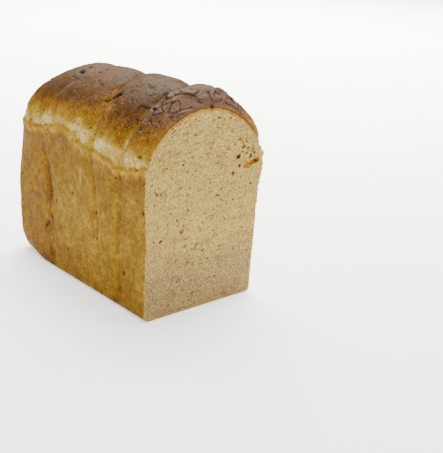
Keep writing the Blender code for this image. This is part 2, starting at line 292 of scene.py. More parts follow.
crust = {
    "crackWidth": 0.42, "crackDeep": 0.7, "edgePlace": (1.7, 1.1), "edgeLift": 0.4,
    "slope": 1.2, "fineCells": (11, 6.5, 9), "fineBend": (0.08, 8), "fineCrackWidth": 0.34,
    "fineEdgePlace": (1.1, 0.6), "fineSlope": 0.8, "fineDeep": 0.5, "fineEdgeLift": 0.3,
    "bakeAt": [-8, -5, -2, 1, 5, 10, 15, 23, 33],
    "bake": [0.1, 0.2, 0.33, 0.47, 0.58, 0.67, 0.78, 0.9, 1.0],
    "pitTries": 14000, "seed": 4,
    "slit": [(-38.7, 84.9, 162.5), (-36, 67.8, 170.4)],
    "crownPits": [((-22.7, 145.8, 174.8), 2.9, 2.2), ((-12.6, 148.6, 178.1), 2.3, 1.8),
                  ((-10.7, 126.4, 179.7), 2.0, 1.6), ((-18.7, 125.3, 177.9), 1.9, 1.5),
                  ((2.5, 1.5, 167), 1.7, 1.3), ((-47, 20, 151), 1.3, 0.9)],
    # along, up, width, height and depth of pits in the left side
    "wallPits": [(104.5, 80.9, 1.8, 2.0, 1.2), (131.5, 65.9, 1.2, 3.5, 0.9),
                 (147.5, 40.5, 2.6, 2.8, 1.4), (150, 37.5, 2.2, 2.2, 1.2),
                 (138.5, 26.5, 1.7, 4.2, 1.2), (111.5, 27.5, 1.5, 2.1, 0.9),
                 (30, 32.8, 2.0, 2.6, 1.5), (3.2, 92.4, 1.7, 2.4, 1.1),
                 (69.5, 73.1, 1.3, 1.8, 0.9),
                 (129, 90.2, 0.8, 0.8, 0.6), (111.6, 120, 0.7, 1.8, 0.8),
                 (105.5, 119.5, 0.7, 1.0, 0.7), (106.6, 92, 0.9, 0.9, 0.7),
                 (104.2, 94.5, 0.8, 0.8, 0.6), (108.4, 95.6, 0.7, 1.0, 0.6),
                 (85.7, 17.5, 0.9, 0.9, 0.7), (67.2, 51.1, 1.2, 1.6, 0.8),
                 (55, 10.1, 0.9, 0.8, 0.6), (96, 82.5, 1.0, 0.7, 0.7),
                 (144.4, 70.8, 0.8, 1.4, 0.6), (11.7, 73.6, 0.6, 0.6, 0.5),
                 (24.2, 71.5, 0.6, 0.6, 0.5), (19.5, 66.4, 0.6, 0.6, 0.5),
                 (39.7, 111.4, 0.8, 1.2, 0.7)],
    "scrape": (92, 106.5, 92.5, 0.7),
}


def creaseAway(y, index):  # mm along the loaf from one crease, + on its far side
    return y - loaf["creaseAt"][index]


def crustFields(p, blank):
    fields = {}
    z = p[:, 2]
    topShare = smoothStep(z, relief["crownLow"], relief["crownHigh"])
    low, high = bandEdges(p)
    waver = noiseAt(p * np.array([0.2, 0.2, 1]), 13, (2, 2, 8))
    waver += 0.4 * noiseAt(p * np.array([0.5, 0.5, 1]), 3.6, (4, 1, 7))
    way = blank[:, 1] + 2.2 * waver * (1 - topShare)
    fade = np.clip(0.75 + 1.1 * noiseAt(p, (16, 24, 26), (8, 2, 5)), 0.15, 1.2)
    height = lobeRelief(way, fade, topShare)
    # torn band, a shallow step with shreds and holes in it
    inBand = smoothStep(z, low - 0.6, low + 0.7)
    torn = inBand * (1 - smoothStep(z, high - 4, high + 2))
    shred = roughAt(p, (2.2, 2.2, 2.6), 3)
    shredFine = roughAt(p, 1.3, 2, (3, 9, 4))
    height += torn * (band["shred"] * (0.7 * shred + 0.3 * shredFine) - band["step"])
    bumps = noiseAt(p, (4.5, 4.5, 5), (2, 6, 1))
    rim = lump(z, low - 2.2, 3.4) * (1 - inBand)
    height += band["bumps"] * rim * (0.7 + 1.2 * bumps)
    # plates of the crown crust, with flakes that stand a little proud of each other
    share = np.interp(p[:, 1], relief["plateAt"], relief["plateShare"])
    share = share * smoothStep(z, relief["plateLow"], relief["plateHigh"])
    gap, draw, tilt = cellsAt(p, relief["plateSizes"], relief["plateBend"])
    split = smoothStep(noiseAt(p, 15, (4, 2, 9)), -0.25, 0.15)
    crack = np.exp(-(gap / crust["crackWidth"]) ** 2) * split
    edge = lump(gap, *crust["edgePlace"]) * split
    height += share * relief["plateTilt"] * (draw - 0.5)
    share = share * np.interp(p[:, 1], relief["crackAt"], relief["crackShare"])
    height += share * crust["slope"] * tilt
    height += share * (crust["edgeLift"] * edge - crust["crackDeep"] * crack)
    onCrown = smoothStep(z, 148, 160)
    gapFine, _, tiltFine = cellsAt(p, crust["fineCells"], crust["fineBend"])
    splitFine = smoothStep(noiseAt(p, 8, (1, 7, 5)), -0.18 * share, 0.3 - 0.25 * share)
    fineCrack = np.exp(-(gapFine / crust["fineCrackWidth"]) ** 2) * splitFine
    fineEdge = lump(gapFine, *crust["fineEdgePlace"]) * splitFine
    fineRise = crust["fineSlope"] * tiltFine * splitFine - crust["fineDeep"] * fineCrack
    height += (onCrown * 0.4 + share) * fineRise
    height += crust["fineEdgeLift"] * share * fineEdge
    # broad and fine unevenness
    size, rise = relief["broad"]
    height += rise * noiseAt(p, size)
    size, rise = relief["middle"]
    height += rise * noiseAt(p, size, (3.1, 7.7, 1.3))
    grain = roughAt(p, 2.2, 3, (1, 2, 3))
    onWall = 1 - smoothStep(z, low - 1, low + 1)
    folds = noiseAt(p, (3.4, 3.4, 30), (6, 6, 6)) * (1 - smoothStep(z, 20, 75))
    dimples = np.maximum(0, noiseAt(p, (3.2, 3.2, 4.2), (9, 3, 1)) - 0.1)
    height += grain * (0.10 + 0.10 * onCrown) + onWall * (0.4 * folds - 0.9 * dimples)
    # crack: where the material paints the cracks near-black, a painted shade
    fields["crack"] = np.clip(share * crack + (0.25 * onCrown + 0.75 * share) * fineCrack, 0, 1)
    fields["edge"] = np.clip(share * (edge + 0.8 * fineEdge), 0, 1)
    fields["torn"] = torn
    fields["rim"] = np.clip(rim * (0.75 + 0.8 * bumps), 0, 1)
    fields["plate"] = draw
    lip = np.zeros(len(p))
    crease = np.zeros(len(p))
    broken = noiseAt(p, (5, 5, 9), (2, 6, 8))
    for index, (lipShare, creaseShare) in enumerate(((0.6, 1), (1, 0.7), (0.8, 0.9))):
        away = creaseAway(way, index)
        # lip: where the crown is painted mauve-grey beside each crease, a painted sheen
        lip += lipShare * lump(away, -3.4, 3.6) * smoothStep(z, 152, 164)
        # crease: where the sides are painted darker down each crease, a painted shade in the
        # groove
        crease += creaseShare * fade * (0.55 + 0.9 * broken) * lump(away, 0, 2.8) * onWall
    lip *= np.clip(0.8 + 1.4 * noiseAt(p, (8, 8, 11), (3, 1, 6)), 0.2, 1.15)
    # more painted sheen over the crown of the first lobe by the cut
    lip += 0.45 * (1 - smoothStep(p[:, 1], 20, 42)) * smoothStep(z - high, 16, 30)
    fields["lip"] = np.clip(lip, 0, 1)
    fields["wall"] = onWall
    fields["crease"] = np.clip(crease, 0, 1)
    fields.update(shred=shred, way=way, low=low, high=high, dimples=dimples * onWall)
    fields["height"] = height * smoothStep(blank[:, 2], 0, loaf["baseEdge"])
    return fields


def browning(p, fields):
    z = p[:, 2]
    over = z - fields["high"]
    patch = roughAt(p, (16, 12, 12), 2, (7, 3, 5))
    speckle = roughAt(p, 2.6, 3, (2, 8, 6))
    # crown: from pale at the band through gold and orange to dark brown
    climb = over + 3.2 * patch + 3.0 * speckle
    climb = climb * (1 - 0.36 * (1 - smoothStep(p[:, 1], 10, 34)))
    climb += smoothStep(over, 1, 12) * (0.2 + 8 * smoothStep(p[:, 1], 80, 150))
    climb -= 10 * lump(p[:, 1], 76, 34) * smoothStep(over, 12, 24)
    crown = np.interp(climb, crust["bakeAt"], crust["bake"])
    golds = ((0.52, 0.6, 2.8), (0.26, 0.5, 4.0), (0.05, 0.5, 4.0))
    for index, (strength, start, reach) in enumerate(golds):
        away = creaseAway(fields["way"], index)
        gold = np.exp(-(np.maximum(0, away - start) / reach) ** 2) * (away > -0.8)
        crown = crown - strength * gold * (1 - 0.8 * smoothStep(z, 168 - 4 * index, 178))
    # walls: golden, darker under the rim and by the base, lighter in the middle
    wall = 0.42 + 0.09 * lump(z, fields["low"] - 14, 11) + 0.05 * (1 - smoothStep(z, 4, 30))
    wall -= 0.05 * lump(z, 62, 26) * lump(p[:, 1], 95, 40) + 0.1 * fields["rim"]
    wall += 0.1 * patch + 0.1 * fields["dimples"] + 0.06 * speckle
    wall += 0.14 * smoothStep(p[:, 1], 90, 180)
    torn = 0.09 + 0.06 * fields["shred"] + 0.15 * patch
    torn += 0.2 * smoothStep(z, fields["high"] - 8, fields["high"])
    torn += 0.12 * (1 - smoothStep(z, fields["low"], fields["low"] + 4))
    below = 1 - smoothStep(z, fields["low"] - 0.8, fields["low"] + 0.8)
    upper = fields["torn"] * torn + (1 - fields["torn"]) * crown
    return np.clip(below * wall + (1 - below) * upper, 0, 1.05)


def addPits(p, fields):
    pit = np.zeros(len(p))
    height = fields["height"]
    tree = makeTree(p)

    def dent(centre, radius, deep, dark=1):
        for _, j, away in tree.find_range(centre, 2.2 * radius):
            inside = math.exp(-(away / radius) ** 2.4)
            height[j] -= deep * inside
            pit[j] = max(pit[j], dark * inside)

    for centre, radius, deep in crust["crownPits"]:
        dent(tree.find(centre)[0], radius, deep)
    start, stop = (Vector(end) for end in crust["slit"])
    # the slit is dented here and painted dark through the pit field, a painted shade
    for step in range(16):  # dark slit by the second crease
        t = step / 15
        centre = start.lerp(stop, t) + Vector((0, 0, 0.6 * math.sin(9 * t)))
        dent(tree.find(centre)[0], 1.7 + 1.3 * math.sin(math.pi * t), 0.75)
    left = p[:, 0] < -45
    for y, z, wide, tall, deep in crust["wallPits"]:
        rough = 1 + 0.35 * noiseAt(p[left], 2.2, (1, 1, 1))
        away = np.hypot((p[left, 1] - y) / wide, (p[left, 2] - z) / tall) * rough
        inside = np.exp(-away ** 2)
        height[left] -= deep * inside
        pit[left] = np.maximum(pit[left], inside)
    y, high, low, wide = crust["scrape"]
    scrape = np.zeros(len(p))
    scrape[left] = lump(p[left, 1], y + 0.06 * (p[left, 2] - low), wide)
    scrape *= smoothStep(p[:, 2], low - 2, low + 2) * (1 - smoothStep(p[:, 2], high - 2, high))
    height -= 0.3 * scrape
    draw = random.Random(crust["seed"])
    for _ in range(crust["pitTries"]):
        i = draw.randrange(len(p))
        tornHere = min(1, 2 * fields["torn"][i] + fields["rim"][i])
        often = 0.015 + tornHere * max(0.1, min(1, 0.5 + 1.5 * noise.noise(Vector(p[i]) / 9)))
        if draw.random() > often:
            continue
        radius = 0.45 + 0.9 * draw.random() ** 2.5
        dent(Vector(p[i]), radius, 0.8 * radius, draw.uniform(0.25, 0.95))
    # pit: where the material paints the hollows dark, partly their own dark brown and partly
    # painted shade
    fields["pit"] = pit
    fields["scrape"] = scrape


# building the skin: box sides as grids in edit order, then shaped

fine = 1.0
skinGrid = {"across": int(380 * fine), "along": int(420 * fine), "down": int(150 * fine),
            "tuck": 24, "cutSpare": 13, "split": 92, "touch": 0.001}
regions = ["crownNear", "crownFar", "leftSide", "rightSide", "farEnd"]


def skinStations():
    half = loaf["width"] / 2
    turn = np.linspace(-math.pi / 2, math.pi / 2, skinGrid["across"] + 1)
    across = half * np.sin(turn)
    reach = loaf["endRounding"]
    straight = loaf["length"] - reach + skinGrid["cutSpare"]
    arc = reach * math.pi / 2
    steps = np.linspace(0, straight + arc, skinGrid["along"] + 1)
    bend = np.clip((steps - straight) / arc, 0, 1) * math.pi / 2
    along = np.minimum(steps, straight) - skinGrid["cutSpare"] + reach * np.sin(bend)
    down = np.linspace(0, loaf["rim"] + skinGrid["tuck"], skinGrid["down"] + 1)
    return across, along, down


def addGrid(name, columns, rows):
    deselectAll()
    bpy.ops.mesh.primitive_grid_add(x_subdivisions=columns, y_subdivisions=rows, size=2)
    piece = bpy.context.object
    piece.name = name
    p = readPoints(piece)
    i = np.rint((p[:, 0] + 1) / 2 * columns).astype(int)
    j = np.rint((p[:, 1] + 1) / 2 * rows).astype(int)
    return piece, i, j


def foldUnder(down):  # height and inward reach of a wall strip that turns under the base
    return np.maximum(0, loaf["rim"] - down), np.maximum(0, down - loaf["rim"])


def markRegion(piece, number):
    layer = piece.data.attributes.new("region", "INT", "FACE")
    layer.data.foreach_set("value", np.full(len(piece.data.polygons), number, np.int32))
    return layer


def makeBlankSkin():
    across, along, down = skinStations()
    half, far = loaf["width"] / 2, loaf["length"]
    top, i, j = addGrid("crown", len(across) - 1, len(along) - 1)
    writePoints(top, np.stack([across[i], along[j], np.full(len(i), loaf["rim"])], 1) * mm)
    layer = markRegion(top, 0)
    centres = np.array([face.center.y for face in top.data.polygons]) / mm
    layer.data.foreach_set("value", (centres > skinGrid["split"]).astype(np.int32))
    sides = [top]
    for number, side in ((regions.index("leftSide"), -1), (regions.index("rightSide"), 1)):
        wall, i, j = addGrid("wall", len(along) - 1, len(down) - 1)
        up, inward = foldUnder(down[j])
        y = along[i] * np.where(along[i] > 0, 1 - inward / far, 1)
        writePoints(wall, np.stack([side * (half - inward), y, up], 1) * mm)
        markRegion(wall, number)
        sides.append(wall)
    end, i, j = addGrid("farEnd", len(across) - 1, len(down) - 1)
    up, inward = foldUnder(down[j])
    writePoints(end, np.stack([across[i] * (1 - inward / half), far - inward, up], 1) * mm)
    markRegion(end, regions.index("farEnd"))
    sides.append(end)
    deselectAll()
    for piece in sides:
        piece.select_set(True)
    bpy.context.view_layer.objects.active = top
    bpy.ops.object.join()
    skin = bpy.context.object
    skin.name = "skin"
    return skin


def closeBase(skin):  # the flat underside is one face inside the folded strips
    pick(skin)
    editWhole(bpy.ops.mesh.remove_doubles, threshold=0.01 * mm)
    editWhole(bpy.ops.mesh.normals_make_consistent)
    p = readPoints(skin) / mm
    touch = skinGrid["touch"]
    pastX = np.abs(p[:, 0]) - (loaf["width"] / 2 - skinGrid["tuck"])
    pastY = p[:, 1] - (loaf["length"] - skinGrid["tuck"])
    edge = (p[:, 2] < touch) & ((np.abs(pastX) < touch) | (np.abs(pastY) < touch))
    edge &= (pastX < touch) & (pastY < touch)
    skin.data.vertices.foreach_set("select", edge)
    bpy.ops.object.mode_set(mode="EDIT")
    bpy.ops.mesh.select_mode(type="VERT")
    bpy.ops.mesh.edge_face_add()
    bpy.ops.object.mode_set(mode="OBJECT")


def shapeSkin(skin):
    blank = readPoints(skin) / mm
    placed = placeOnLoaf(blank)
    writePoints(skin, placed * mm)
    outward = readNormals(skin)
    print("crust fields for", len(blank), "points")
    fields = crustFields(placed, blank)
    fields["bake"] = browning(placed, fields)
    addPits(placed, fields)
    moved = placed + outward * fields["height"][:, None]
    writePoints(skin, moved * mm)
    for name in ("bake", "crack", "edge", "torn", "pit", "plate", "rim", "lip", "crease",
                 "scrape", "wall"):
        paint(skin, name, fields[name])


def cutSkin(skin):
    pick(skin)
    editWhole(bpy.ops.mesh.bisect, plane_co=(0, 0, 0), plane_no=(0, 1, 0), clear_inner=True,
              use_fill=False, threshold=0.001 * mm)


def moveToFrame(piece):
    writePoints(piece, readPoints(piece) + np.array(loaf["shift"]) * mm)


# the cut outline, as seen from the front, walked round by its angle

def cutOutline(skin):
    p = readPoints(skin) / mm
    counts = {}
    for polygon in skin.data.polygons:
        for key in polygon.edge_keys:
            counts[key] = counts.get(key, 0) + 1
    rim = {v for key, n in counts.items() if n == 1 for v in key}
    rim = p[[v for v in rim if abs(p[v, 1]) < skinGrid["touch"]]]
    middle = np.array(crumb["middle"])
    ray = rim[:, [0, 2]] - middle
    ray = ray[np.argsort(np.arctan2(ray[:, 1], ray[:, 0]))]
    walk = []
    for here, there in zip(ray, np.roll(ray, -1, axis=0)):  # the base is one long step
        count = max(1, int(np.linalg.norm(there - here)))
        walk += [here + (there - here) * k / count for k in range(count)]
    walk = np.array(walk)
    angle = np.arctan2(walk[:, 1], walk[:, 0])
    order = np.argsort(angle)
    return middle, angle[order], np.linalg.norm(walk[order], axis=1)


crumb = {
    "columns": int(400 * fine), "rows": 2 * int(245 * fine), "pores": 12000, "seed": 11,
    "middle": (0, 80), "half": (60, 86),
    # centre and stretch of the arch that the pores follow, the heights between which it
    # starts, and the distances from the middle between which pores turn upright
    "arch": (2, 62, 1.05, 1.6), "archFrom": (55, 95), "upright": (12, 48),
    # middle, length, height at its two ends, depth and slope of the torn slit, and the
    # place and spread of the red spot at its end
    "slit": (50.0, 118.3, 20, 6.2, 4.0, 4.5, 13),
    "redSpot": (56.6, 119.0, 1.7),
    # across, up, half length, half height, depth and slope of the larger holes
    "holes": [(34.8, 125.4, 2.2, 1.6, 2.8, 10), (36.4, 117.4, 1.5, 1.3, 1.8, 60),
              (29.6, 111.9, 1.4, 1.1, 1.7, 70), (48.3, 124.3, 1.8, 1.1, 2.0, 60),
              (41, 134, 3.0, 1.1, 2.0, -40), (45.5, 131, 2.6, 1.1, 2.0, 70),
              (50.5, 130, 2.8, 1.1, 2.0, 65), (38.5, 137, 2.4, 1.0, 1.8, -55),
              (39.8, 132.6, 2.5, 0.9, 1.8, 0), (39.2, 129.2, 1.7, 0.9, 1.6, 15),
              (43.3, 137.2, 2.2, 1.2, 1.8, -50), (53, 127, 2.2, 1.0, 1.8, 60),
              (44, 127.5, 2.0, 1.0, 1.8, 40), (35.5, 140, 2.0, 1.2, 1.8, 10),
              (30, 136, 1.8, 0.7, 1.5, -35), (10.9, 160.3, 2.0, 1.1, 1.6, -5),
              (-12.3, 149.1, 2.2, 1.0, 1.5, 20), (-22.7, 145.8, 2.4, 0.9, 1.6, 30),
              (42.5, 79.2, 0.9, 2.0, 1.4, 0), (12.5, 61.2, 2.4, 0.9, 1.6, 55),
              (-5.8, 57.2, 2.9, 1.0, 1.9, 50), (0.9, 50.7, 2.2, 0.9, 1.5, 10),
              (6, 41.8, 1.5, 0.9, 1.5, 30), (-1.1, 74.8, 1.8, 0.8, 1.4, 0),
              (-2.6, 69.3, 1.3, 0.8, 1.2, 0), (50.8, 39.5, 1.6, 0.9, 1.4, 20)],
}


def flowAngle(x, z):  # pores lie along the arch of the crown and stand up near the sides
    middleX, middleZ, wide, tall = crumb["arch"]
    (start, full), (inner, outer) = crumb["archFrom"], crumb["upright"]
    arch = math.atan2(-(x - middleX) / wide, max(4, z - middleZ) / tall)
    upright = math.pi / 2 if x < 0 else -math.pi / 2
    low = 1 - min(1, max(0, (z - start) / (full - start)))
    side = min(1, max(0, (abs(x) - inner) / (outer - inner)))
    return arch * (1 - low) + low * (0.25 + (upright - 0.25) * side)


def makeCrumbFace(outline):
    middle, angles, reaches = outline
    piece, i, j = addGrid("crumbFace", crumb["columns"], crumb["rows"])
    layer = markRegion(piece, 0)
    upper = np.array([face.center.y > 0 for face in piece.data.polygons])
    layer.data.foreach_set("value", upper.astype(np.int32))
    u = 2 * i / crumb["columns"] - 1
    v = 2 * j / crumb["rows"] - 1
    out = np.maximum(np.abs(u), np.abs(v))
    wide, tall = crumb["half"]
    angle = np.arctan2(v * tall, u * wide)
    reach = np.interp(angle, angles, reaches, period=2 * math.pi)
    flat = np.stack([middle[0] + out * reach * np.cos(angle), np.zeros_like(out),
                     middle[1] + out * reach * np.sin(angle)], 1)
    ring = np.linspace(-math.pi, math.pi, 4001)[:-1]
    ringReach = np.interp(ring, angles, reaches, period=2 * math.pi)
    rimTree = makeTree([(middle[0] + far * math.cos(turn), 0, middle[1] + far * math.sin(turn))
                        for turn, far in zip(ring, ringReach)])
    rim = np.array([rimTree.find(point)[2] for point in flat])
    strand = strandsAt(flat)
    deep, pore, slit, red = crumbRelief(flat)
    deep = np.maximum(0.02, deep - 0.25 * strand * (1 - slit))
    flat[:, 1] += deep * smoothStep(rim, 0.05, 0.9)
    writePoints(piece, flat * mm)
    for name, values in (("rim", rim), ("pore", pore), ("slit", slit), ("red", red),
                         ("strand", strand)):
        paint(piece, name, values)
    pick(piece)
    editWhole(bpy.ops.mesh.normals_make_consistent)
    if readNormals(piece)[:, 1].mean() > 0:
        editWhole(bpy.ops.mesh.flip_normals)
    return piece


def strandsAt(flat):  # fine strands between the cells, drawn out the way the pores lie
    middleX, middleZ, wide, tall = crumb["arch"]
    x, z = (flat[:, 0] - middleX) / wide, (flat[:, 2] - middleZ) / tall
    low = 1 - smoothStep(flat[:, 2], *crumb["archFrom"])
    side = smoothStep(np.abs(flat[:, 0]), *crumb["upright"])
    across = np.stack([np.arctan2(x, np.maximum(z, 1)) * 50, np.hypot(x, z) * 1.3, x * 0], 1)
    level = np.stack([flat[:, 0] + 0.25 * flat[:, 2], flat[:, 2] - 0.25 * flat[:, 0], x * 0], 1)
    total = (1 - low) * roughAt(across, (2.5, 0.9, 1), 2)
    total += low * (1 - side) * roughAt(level, (2.4, 0.9, 1), 2, (9, 2, 4))
    total += low * side * roughAt(level, (1.0, 2.2, 1), 2, (3, 8, 1))
    return 0.75 * total + 0.45 * roughAt(flat, (1.1, 1, 0.9), 2, (6, 6, 2))


def crumbRelief(flat):
    # thin cell walls stand up between shallow cells
    warp = 1.1 * np.stack([noiseAt(flat, 4, (k, 5, 2)) for k in (0, 9, 18)], 1)
    bent = flat + warp * np.array([1, 0, 1])
    cells = np.abs(noiseAt(bent, (1.9, 3, 1.25), (8, 1, 1)))
    cells = cells + 0.6 * np.abs(noiseAt(bent, (1.0, 2, 0.75), (3, 3, 9)))
    deep = 0.25 * noiseAt(flat, 9) + 0.25 * noiseAt(flat, 3, (4, 4, 4))
    deep += 0.55 * np.minimum(cells, 0.5) + 0.1
    # pore: where the material paints shade into the cells and holes
    pore = np.clip(0.8 * cells - 0.05, 0, 0.5)
    red = np.zeros(len(flat))
    tree = makeTree(flat)
    draw = random.Random(crumb["seed"])
    holes = []
    for _ in range(crumb["pores"]):
        x, z = draw.uniform(-61, 64), draw.uniform(1, 171)
        size = min(1.2, 0.26 * math.exp(draw.gauss(0.05, 0.42)))
        stretch = draw.uniform(1.3, 3.4)
        turn = flowAngle(x, z) + draw.gauss(0, 0.42)
        holes.append((x, z, size * stretch, size, size * draw.uniform(0.7, 1.5), turn))
    for x, z, a, b, d, turn in crumb["holes"]:
        holes.append((x, z, a, b, d, math.radians(turn)))
    for x, z, a, b, d, turn in holes:
        c, s = math.cos(turn), math.sin(turn)
        for point, k, _ in tree.find_range(Vector((x, 0, z)), max(a, b) * 1.25):
            px, pz = point.x - x, point.z - z
            inside = 1 - ((px * c + pz * s) / a) ** 2 - ((pz * c - px * s) / b) ** 2
            if inside > 0:
                deep[k] = max(deep[k], d * math.sqrt(inside) + 0.15)
                pore[k] = max(pore[k], min(1, inside * (0.5 + d)))
            if inside > -1.2 and d >= 1.7 and 28 < x < 50 and z < 127:
                red[k] = max(red[k], min(1, 1.2 + inside))
    x0, z0, length, tall, thin, slitDeep, turn = crumb["slit"]
    turn = math.radians(turn)
    px, pz = flat[:, 0] - x0, flat[:, 2] - z0
    along = (px * math.cos(turn) + pz * math.sin(turn)) / (length / 2)
    up = pz * math.cos(turn) - px * math.sin(turn)
    up = up + 1.5 * noiseAt(flat, 3.4, (1, 5, 2)) + 1.1 * noiseAt(flat, 1.5)
    along = along + 0.22 * noiseAt(flat, 2.1, (7, 5, 2))
    half = (tall + (thin - tall) * (along + 1) / 2) / 2
    inside = 1 - np.abs(along) ** 4 - (up / half) ** 2
    slit = smoothStep(inside, -0.3, 0.35)
    deep = np.maximum(deep, slitDeep * np.sqrt(np.maximum(0, inside)) * (0.4 + 0.3 * (1 + along)))
    deep -= 0.5 * smoothStep(inside, -1.4, -0.4) * (1 - slit)
    x0, z0, spread = crumb["redSpot"]
    away = np.hypot(flat[:, 0] - x0, flat[:, 2] - z0)
    red = np.maximum(red, lump(away, 0, spread))
    return deep, pore, slit, red


# materials: a small kit so that shader maths reads as plain sums

class Wire:
    def __init__(self, kit, socket):
        self.kit = kit
        self.socket = socket

    def __add__(self, other):
        return self.kit.sum("ADD", self, other)

    def __radd__(self, other):
        return self.kit.sum("ADD", other, self)

    def __sub__(self, other):
        return self.kit.sum("SUBTRACT", self, other)

    def __rsub__(self, other):
        return self.kit.sum("SUBTRACT", other, self)

    def __mul__(self, other):
        return self.kit.sum("MULTIPLY", self, other)

    def __rmul__(self, other):
        return self.kit.sum("MULTIPLY", other, self)

    def __truediv__(self, other):
        return self.kit.sum("DIVIDE", self, other)


class Kit:
    def __init__(self, name):
        self.material = bpy.data.materials.new(name)
        self.material.use_nodes = True
        self.tree = self.material.node_tree
        self.shader = self.tree.nodes["Principled BSDF"]
        self.shader.inputs["Specular IOR Level"].default_value = 0.12  # dry and matte
        self.where = self.node("ShaderNodeTexCoord", out="Object")

    def node(self, kind, settings=None, values=None, out=0):
        made = self.tree.nodes.new(kind)
        for key, value in (settings or {}).items():
            if key == "stops":
                ramp = made.color_ramp
                while len(ramp.elements) < len(value):
                    ramp.elements.new(0.5)
                for stop, (place, colour) in zip(ramp.elements, value):
                    stop.position = place
                    stop.color = (*colour, 1)
            else:
                setattr(made, key, value)
        for key, value in (values or {}).items():
            self.plug(made.inputs[key], value)
        return Wire(self, made.outputs[out])

    def plug(self, socket, value):
        if isinstance(value, Wire):
            self.tree.links.new(value.socket, socket)
        elif isinstance(value, tuple) and len(value) == 3 and socket.type == "RGBA":
            socket.default_value = (*value, 1)
        else:
            socket.default_value = value

    def sum(self, operation, a, b):
        return self.node("ShaderNodeMath", {"operation": operation}, {0: a, 1: b})

    def mask(self, value, low, high):
        return self.node("ShaderNodeMapRange", {"interpolation_type": "SMOOTHSTEP"},
                         {"Value": value, "From Min": low, "From Max": high}, "Result")

    def mix(self, factor, a, b):
        return self.node("ShaderNodeMix", {"data_type": "RGBA"}, {0: factor, 6: a, 7: b}, 2)

    def stretch(self, scale):
        return self.node("ShaderNodeMapping", {}, {"Vector": self.where, "Scale": scale})

    def noise(self, size, detail=3, rough=0.55, where=None):
        return self.node("ShaderNodeTexNoise", {},
                         {"Vector": where or self.where, "Scale": 1 / (size * mm),
                          "Detail": detail, "Roughness": rough}, "Fac")

    def field(self, name):
        return self.node("ShaderNodeAttribute", {"attribute_name": name}, {}, "Fac")

    def ramp(self, value, stops):
        return self.node("ShaderNodeValToRGB", {"stops": stops}, {"Fac": value}, "Color")

    def bump(self, height, distance, strength=1.0):
        return self.node("ShaderNodeBump", {},
                         {"Height": height, "Distance": distance * mm, "Strength": strength})

    def finish(self, **values):
        for key, value in values.items():
            self.plug(self.shader.inputs[key.replace("_", " ")], value)
        return self.material


def tone(red, green, blue):  # a colour as seen, 0 to 255, as the shader counts it
    def linear(value):
        value /= 255
        return value / 12.92 if value <= 0.04045 else ((value + 0.055) / 1.055) ** 2.4
    return linear(red), linear(green), linear(blue)


crustColours = [
    (0.0, tone(205, 186, 128)), (0.1, tone(188, 160, 88)), (0.22, tone(160, 126, 43)),
    (0.36, tone(133, 102, 27)), (0.5, tone(117, 84, 14)), (0.6, tone(110, 69, 17)),
    (0.74, tone(84, 52, 17)), (0.87, tone(69, 45, 19)), (1.0, tone(60, 42, 26)),
]


def crustMaterial():
    kit = Kit("bakedCrust")
    bake = kit.field("bake")
    torn = kit.field("torn")
    pit = kit.field("pit")
    grain = kit.noise(1.5, 4, 0.65)
    patch = kit.noise(6, 3, 0.6)
    broad = kit.noise(24, 2)
    streak = kit.noise(2.4, 4, 0.6, kit.stretch((1, 1, 0.14)))
    speck = kit.noise(1.1, 2, 0.7)
    onCrown = kit.mask(bake, 0.56, 0.7)
    onWall = kit.field("wall")
    level = bake + ((patch - 0.5) * 0.5 + (grain - 0.5) * 0.6) * (1 - 0.6 * torn)
    level = level + (broad - 0.5) * 0.25 + (streak - 0.5) * 0.14 * onWall
    # painted shade: darker along the side creases
    level = level + kit.field("crease") * 0.24
    level = level + (kit.field("plate") - 0.5) * 0.08 * onCrown
    colour = kit.ramp(level, crustColours)
    # yellow specks where the crown turns from gold to brown, and where the side meets the band
    golden = kit.mask(speck, 0.54, 0.64) * kit.mask(bake, 0.25, 0.45) * kit.mask(bake, 0.86, 0.62)
    colour = kit.mix(golden * (0.3 + 0.4 * (1 - onWall)), colour, tone(188, 138, 44))
    colour = kit.mix(kit.field("rim") * 0.75, colour, tone(182, 138, 50))
    grey = kit.mask(bake, 0.8, 1.0) * kit.mask(grain, 0.44, 0.62)
    colour = kit.mix(grey * 0.22, colour, tone(84, 60, 44))
    # painted sheen: mauve-grey on the lobe lips and on the first lobe's crown
    colour = kit.mix(kit.field("lip") * 0.75, colour, tone(99, 73, 63))
    colour = kit.mix(kit.field("edge") * 0.4 * onCrown, colour, tone(104, 78, 66))
    # painted shade: the cracks go near-black
    colour = kit.mix(kit.field("crack") * 0.9, colour, tone(24, 14, 10))
    # pits: partly their own dark brown, partly painted shade, near-black on the crown
    pitBrownAndShade = kit.mix(onCrown, tone(58, 36, 20), tone(18, 12, 10))
    colour = kit.mix(kit.mask(pit, 0.15, 0.8) * 0.88, colour, pitBrownAndShade)
    colour = kit.mix(kit.field("scrape") * 0.5, colour, tone(200, 176, 116))
    rough = 0.66 - 0.14 * onCrown + 0.2 * torn + (grain - 0.5) * 0.25
    height = grain * 0.7 + speck * 0.45 + streak * onWall * 0.2
    return kit.finish(Base_Color=colour, Roughness=rough, Normal=kit.bump(height, 0.6, 1.0),
                      Specular_IOR_Level=0.06)


